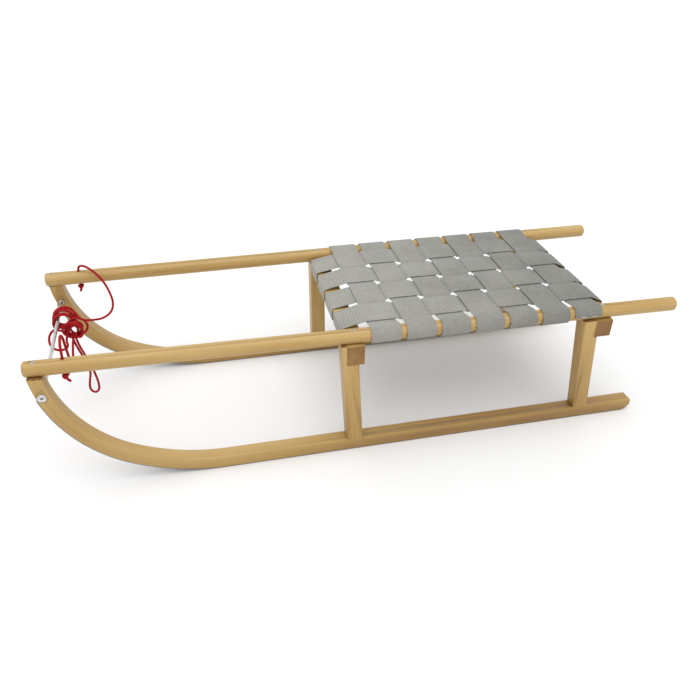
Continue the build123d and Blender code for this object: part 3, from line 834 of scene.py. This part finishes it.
def lay_grain(piece, place_of, floor_reach=0.001):
    """Writes the grain and near-floor attributes that the wood finish reads."""
    mesh = piece.data
    places = [place_of(vertex.co)[0] for vertex in mesh.vertices]
    # 1 at the floor, falling to 0 at the given height above it.
    tone_shift = [max(0.0, 1.0 - vertex.co.z / floor_reach) for vertex in mesh.vertices]
    ends = [float(abs(face.normal.dot(place_of(face.center)[1])) > end_limit)
            for face in mesh.polygons]
    add_attribute(mesh, "grain_place", "FLOAT_VECTOR", "POINT", "vector", places)
    add_attribute(mesh, "ground_wear", "FLOAT", "POINT", "value", tone_shift)
    add_attribute(mesh, "end_grain", "FLOAT", "FACE", "value", ends)
    mesh.materials.append(wood)


rail_lean = 0.0159
wooden = []
for number, (side_name, side) in enumerate((("left", 1), ("right", -1))):
    rail = merged_copy(side_name + "_rail", "rail_" + side_name)
    heart = Vector((0.3 * number, -side * 0.15, -0.227 + 0.004 * number))
    lay_grain(rail, straight_grain((1, -side * rail_lean, 0), heart))
    wooden.append(rail)
# The front right lean is an earlier leg's. The part now leans 0.021 forwards, so the grain there is
# about 3 degrees off: a known fault.
leg_leans = {"front_left_leg": 0.063, "front_right_leg": -0.031, "rear_left_leg": 0.099,
             "rear_right_leg": 0.099}
for number, node in enumerate(leg_leans):
    leg = merged_copy(node, "leg_" + node.replace("_leg", ""))
    lean = leg_leans[node]
    heart = Vector((1.7 + 0.4 * number, 0.02 * number, 0.03 + 0.01 * number))
    lay_grain(leg, straight_grain((lean, 0, 1), heart), floor_reach=0.04)
    wooden.append(leg)
for number, node in enumerate(("front_crossbar", "rear_crossbar")):
    bar = merged_copy(node, "bar_" + node.replace("_crossbar", ""))
    lay_grain(bar, straight_grain((0, 1, 0), Vector((3.1 + number, 0.02 * number, -0.2))))
    wooden.append(bar)
print("wooden pieces", len(wooden))

# %% [markdown]
# ## Bent runners
#
# A runner is one straight board, steamed and bent, so its grain follows the curve. The place
# along the grain is the length along the sliding side: straight first, then round a wide arc,
# then round a tighter one up to the tip.

# %% Runner grain
bend_start = 0.262
first_radius, first_turn = 0.370, math.radians(25)
second_radius = 0.225


def bent_grain(shift):
    """Grain that follows the runner's two arcs."""
    first_centre = Vector((bend_start, 0, first_radius))
    gap = first_radius - second_radius
    second_centre = first_centre + gap * Vector((math.sin(first_turn), 0, -math.cos(first_turn)))

    def place(co):
        if co.x <= bend_start and co.z < first_radius / 2:
            return Vector((co.x, co.y, co.z)) + shift, Vector((1, 0, 0))
        turned = math.atan2(co.x - first_centre.x, first_centre.z - co.z)
        centre, radius, run = first_centre, first_radius, bend_start
        if turned > first_turn:
            centre, radius = second_centre, second_radius
            run = bend_start + (first_radius - second_radius) * first_turn
            turned = math.atan2(co.x - centre.x, centre.z - co.z)
        inset = radius - math.hypot(co.x - centre.x, co.z - centre.z)
        axis = Vector((math.cos(turned), 0, math.sin(turned)))
        return Vector((run + radius * turned, co.y, inset)) + shift, axis
    return place


for number, side_name in enumerate(("left", "right")):
    runner = merged_copy(side_name + "_runner", "runner_" + side_name)
    side = 1 if side_name == "left" else -1
    lay_grain(runner, bent_grain(Vector((5.0 + number, -side * 0.15, 0.01))), floor_reach=0.03)
    wooden.append(runner)
print("runner points", len(wooden[-1].data.vertices))

# %% [markdown]
# ## Steel
#
# The shoes and their screws, the leg screws, the tie rod, its nuts and washers and the staples
# keep their plain solids, because their shapes are right. They only need a metal finish: dull zinc
# plate with small stains, and
# a darker rolled steel under the runners.

# %% Steel finishes


def steel_finish(name, colour, roughness):
    """Plated steel: cloudy plating with fine scratches."""
    bench, shader, material = new_finish(name)
    place = bench.node("ShaderNodeTexCoord").other("Object")
    cloud = bench.noise(place, 160.0, 3.0)
    scratch = bench.noise(vector_sum(bench, "MULTIPLY", place, (60.0, 900.0, 900.0)), 1.0, 2.0)
    dark = tuple(c * 0.6 for c in colour)
    shade = bench.mix(bench.ramp(cloud * 0.7 + scratch * 0.3, (0.3, 0.0), (0.7, 1.0)),
                      (*dark, 1), (*colour, 1))
    bump = bench.node("ShaderNodeBump", {}, {"Strength": 0.15, "Distance": 0.0001, "Height": scratch})
    feed(bench, shader, Base_Color=shade, Normal=bump,
         Roughness=roughness + (cloud - 0.5) * 0.25 + (scratch - 0.5) * 0.2)
    feed(bench, shader, Metallic=1.0)
    return material


zinc = steel_finish("zinc_plate", (0.78, 0.77, 0.74), 0.34)
shoe_steel = steel_finish("shoe_steel", (0.30, 0.29, 0.28), 0.42)
steel_nodes = {"left_shoe": shoe_steel, "right_shoe": shoe_steel}
for node in ("left_rod_nut", "right_rod_nut", "tie_rod", "tie_rod_washers", "rail_staples",
             "crossbar_staples", "leg_screws"):
    steel_nodes[node] = zinc
for node, material in steel_nodes.items():
    mesh = nodes[node].data
    mesh.materials.clear()
    mesh.materials.append(material)
print("steel nodes", len(steel_nodes))

# %% [markdown]
# ## Screws
#
# A screw head is a small thing, but it is where the eye goes on a plain piece of wood. One head
# with a cross recess is modelled, and a Geometry Nodes tree puts a copy at each screw in the rails
# and crossbars, turned to point the same way and each with its own twist.

# %% One screw head


def screw_model(name, head, depth, shank, length):
    """Flat-headed screw, its head's top at the origin and its point below."""
    shape = bmesh.new()
    sides = 24
    rings = [(head * 0.46, 0.0), (head * 0.5, -0.0002), (shank * 0.5, -depth), (shank * 0.5, -length)]
    loops = []
    for radius, height in rings:
        loop = []
        for k in range(sides):
            angle = 2 * math.pi * k / sides
            loop.append(shape.verts.new((radius * math.cos(angle), radius * math.sin(angle), height)))
        loops.append(loop)
    for upper, lower in zip(loops, loops[1:]):
        for k in range(sides):
            nxt = (k + 1) % sides
            shape.faces.new((upper[k], lower[k], lower[nxt], upper[nxt]))
    tip = shape.verts.new((0, 0, -length - shank * 0.5))
    for k in range(sides):
        shape.faces.new((loops[-1][k], tip, loops[-1][(k + 1) % sides]))
    slot_half, arm = head * 0.055, head * 0.27
    cross = []
    for quarter in range(4):
        turned = Matrix.Rotation(math.pi / 2 * quarter, 3, "Z")
        for corner in ((arm, -slot_half, 0), (arm, slot_half, 0), (slot_half, slot_half, 0)):
            cross.append(turned @ Vector(corner))
    rim = [shape.verts.new(c) for c in cross]
    floor_ring = [shape.verts.new((c.x * 0.45, c.y * 0.45, -depth * 0.8)) for c in cross]
    for k in range(len(rim)):
        nxt = (k + 1) % len(rim)
        shape.faces.new((rim[k], rim[nxt], floor_ring[nxt], floor_ring[k]))
    shape.faces.new(floor_ring)
    edges = [shape.edges.get((a, b)) or shape.edges.new((a, b))
             for loop in (loops[0], rim) for a, b in zip(loop, loop[1:] + loop[:1])]
    bmesh.ops.triangle_fill(shape, use_beauty=True, edges=edges)
    bmesh.ops.recalc_face_normals(shape, faces=shape.faces)
    mesh = bpy.data.meshes.new(name)
    shape.to_mesh(mesh)
    shape.free()
    model = bpy.data.objects.new(name, mesh)
    collection.objects.link(model)
    return model


print("screw model ready")

# %% Screws at the frame's places


def islands(node):
    """Boxes of a node's separate solids: (lowest corner, highest corner) each."""
    shape = bmesh.new()
    shape.from_mesh(nodes[node].data)
    bmesh.ops.remove_doubles(shape, verts=shape.verts, dist=1e-6)
    boxes, seen = [], set()
    for first in shape.verts:
        if first in seen:
            continue
        seen.add(first)
        waiting, corners = [first], []
        while waiting:
            vertex = waiting.pop()
            corners.append(vertex.co.copy())
            linked = {edge.other_vert(vertex) for edge in vertex.link_edges} - seen
            seen |= linked
            waiting += linked
        boxes.append((Vector(map(min, zip(*corners))), Vector(map(max, zip(*corners)))))
    shape.free()
    return sorted(boxes, key=lambda box: tuple(round(c, 4) for c in box[0]))


def screws_tree():
    bench, given, tree = new_tree("screws", {"Screw": "Object", "Seed": "Int"})
    model = bench.node("GeometryNodeObjectInfo", {}, {"Object": given.other("Screw")}).other("Geometry")
    point_way = bench.node("GeometryNodeInputNamedAttribute", {"data_type": "FLOAT_VECTOR"},
                           {"Name": "head_way"})
    upright = bench.node("FunctionNodeAlignRotationToVector", {"axis": "Z"}, {"Vector": point_way})
    twist = bench.node("FunctionNodeRandomValue", {"data_type": "FLOAT"},
                       {2: 0.0, 3: math.pi, "Seed": given.other("Seed")}, output=1)
    spin = bench.node("FunctionNodeAxisAngleToRotation", {}, {"Axis": (0, 0, 1), "Angle": twist})
    turned = bench.node("FunctionNodeRotateRotation", {"rotation_space": "LOCAL"},
                        {"Rotation": upright, "Rotate By": spin})
    copies = bench.node("GeometryNodeInstanceOnPoints", {},
                        {"Points": given.other("Geometry"), "Instance": model, "Rotation": turned})
    end_tree(bench, copies, zinc)
    return tree


screw_nodes = screws_tree()


def place_screws(name, node, model, way_of, seed):
    """Copies of a screw at each solid of a node; way_of gives the head's direction."""
    boxes = islands(node)
    mesh = bpy.data.meshes.new(name)
    tops, ways = [], []
    for low, high in boxes:
        centre = (low + high) / 2
        way = Vector(way_of(centre))
        reach = abs((high - low).dot(way)) / 2
        tops.append(centre + way * reach)
        ways.append(way)
    mesh.from_pydata(tops, [], [])
    attribute = mesh.attributes.new("head_way", "FLOAT_VECTOR", "POINT")
    for number, way in enumerate(ways):
        attribute.data[number].vector = way
    holder = bpy.data.objects.new(name + "_places", mesh)
    collection.objects.link(holder)
    modifier = holder.modifiers.new("screws", "NODES")
    modifier.node_group = screw_nodes
    set_inputs(modifier, {"Screw": model, "Seed": seed})
    piece = plain_mesh(holder, name)
    outward(piece, math.radians(35))
    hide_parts(node)
    print(name, len(boxes), "screws")
    return piece


def bar_screw_way(place):
    """The heads are on the rear of the bars, but for the front right one, on the front."""
    return (1, 0, 0) if place.x > 0 and place.y < 0 else (-1, 0, 0)


head_width, head_depth, shank_width = 0.008, 0.0032, 0.0042
rail_screw_length, bar_screw_length = 0.045, 0.035
rail_screw = screw_model("rail_screw_model", head_width, head_depth, shank_width, rail_screw_length)
bar_screw = screw_model("bar_screw_model", head_width, head_depth, shank_width, bar_screw_length)
screws = [
    place_screws("screws_in_rails", "rail_screws", rail_screw, lambda place: (0, 0, 1), 3),
    place_screws("screws_in_bars", "crossbar_screws", bar_screw, bar_screw_way, 5)]
shoe_heads = nodes["shoe_screws"].data
shoe_heads.materials.clear()
shoe_heads.materials.append(zinc)
for model in (rail_screw, bar_screw):
    bpy.data.objects.remove(model)

# %% [markdown]
# ## Cord finish
#
# Red polyester braid is matt. The lines between its strands are painted darker, as painted shade. The
# pattern is in the UV map, so it stays on the cord through every turn.

# %% Cord finish


def cord_finish():
    bench, shader, material = new_finish("red_braid")
    run = bench.node("ShaderNodeUVMap", {"uv_map": "cord_run"})
    apart = bench.node("ShaderNodeSeparateXYZ", {}, {0: run})
    along, round_share = apart.other("X"), apart.other("Y")
    lay = along * (math.pi / braid_pitch)
    angle = round_share * (math.pi * braid_strands)
    one_way = (angle + lay + math.pi / 2).sine().size()
    other_way = (angle - lay + math.pi / 2).sine().size()
    strand = one_way.sum("MAXIMUM", one_way, other_way)
    place = bench.node("ShaderNodeTexCoord").other("Object")
    tone_shift = bench.noise(place, 60.0, 2.0)
    fibre = bench.noise(place, 2500.0, 2.0)
    # Painted shade: the gaps between the strands are painted dark red, and a noise adds random tone.
    shade = bench.ramp(strand, (0.70, 0.0), (0.95, 1.0)) * 0.75 + (tone_shift - 0.5) * 0.3
    shade_and_mottle_red, bright_red = (0.13, 0.002, 0.004, 1), (0.50, 0.006, 0.010, 1)
    colour = bench.mix(shade + 0.1, shade_and_mottle_red, bright_red)
    bump = bench.node("ShaderNodeBump", {}, {"Strength": 0.3, "Distance": 0.0002, "Height": fibre})
    feed(bench, shader, Base_Color=colour, Roughness=0.6 + (fibre - 0.5) * 0.3, Normal=bump)
    feed(bench, shader, Specular_IOR_Level=0.2)
    return material


red_braid = cord_finish()
for piece in [pull_cord] + knots:
    piece.data.materials.append(red_braid)
print(red_braid.name)

# %% [markdown]
# ## Floor and light
#
# A wide pale floor and soft light from above show the shape without hard shadows. The sky is
# even and white, and one very wide sun above and a little in front gives the tops their brightness.

# %% Floor and lights
floor_half = 12.0
floor_colour = (0.80, 0.80, 0.80, 1)
sun_strength, sky_strength = 1.25, 1.0
sun_spread = math.radians(60)
sun_direction = Vector((-0.15, -0.28, -1.0))

bench, shader, floor_finish = new_finish("floor_paint")
floor_place = bench.node("ShaderNodeTexCoord").other("Object")
floor_rough = 0.9 + (bench.noise(floor_place, 6.0) - 0.5) * 0.1
feed(bench, shader, Base_Color=floor_colour, Roughness=floor_rough)
floor_mesh = bpy.data.meshes.new("floor")
floor_mesh.from_pydata([(-floor_half, -floor_half, 0), (floor_half, -floor_half, 0),
                        (floor_half, floor_half, 0), (-floor_half, floor_half, 0)], [], [(0, 1, 2, 3)])
floor_mesh.materials.append(floor_finish)
floor = bpy.data.objects.new("floor", floor_mesh)
collection.objects.link(floor)

sun_data = bpy.data.lights.new("soft_overhead", "SUN")
sun_data.energy = sun_strength
sun_data.angle = sun_spread
overhead = bpy.data.objects.new("soft_overhead", sun_data)
overhead.rotation_euler = sun_direction.to_track_quat("-Z", "Y").to_euler()
collection.objects.link(overhead)
world = bpy.data.worlds.new("sky")
world.use_nodes = True
sky = world.node_tree.nodes["Background"]
sky.inputs["Color"].default_value = (1, 1, 1, 1)
sky.inputs["Strength"].default_value = sky_strength
bpy.context.scene.world = world
bpy.context.scene.view_settings.view_transform = "Standard"
print("lamps", len(bpy.data.lights))

# %% [markdown]
# ## What goes with what
#
# Nothing on a toboggan moves, so every piece rides on the one body. The cord's plain parts
# in the imported model are hidden.

# %% Ride and soft goods
for piece in wooden:
    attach(piece, "root")
for piece, width, length in straps:
    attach(piece, "root")
for piece in screws:
    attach(piece, "root")
for piece in [pull_cord] + knots:
    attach(piece, "root")
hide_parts("pull_cord_right", "pull_cord_long_loop", "pull_cord_loose_loop",
            "pull_cord_left", "pull_cord_hank")
for knot, side_name in zip(knots, ("left", "right")):
    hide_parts(side_name + "_knot")
print("cord", round(float(cord_length), 3))
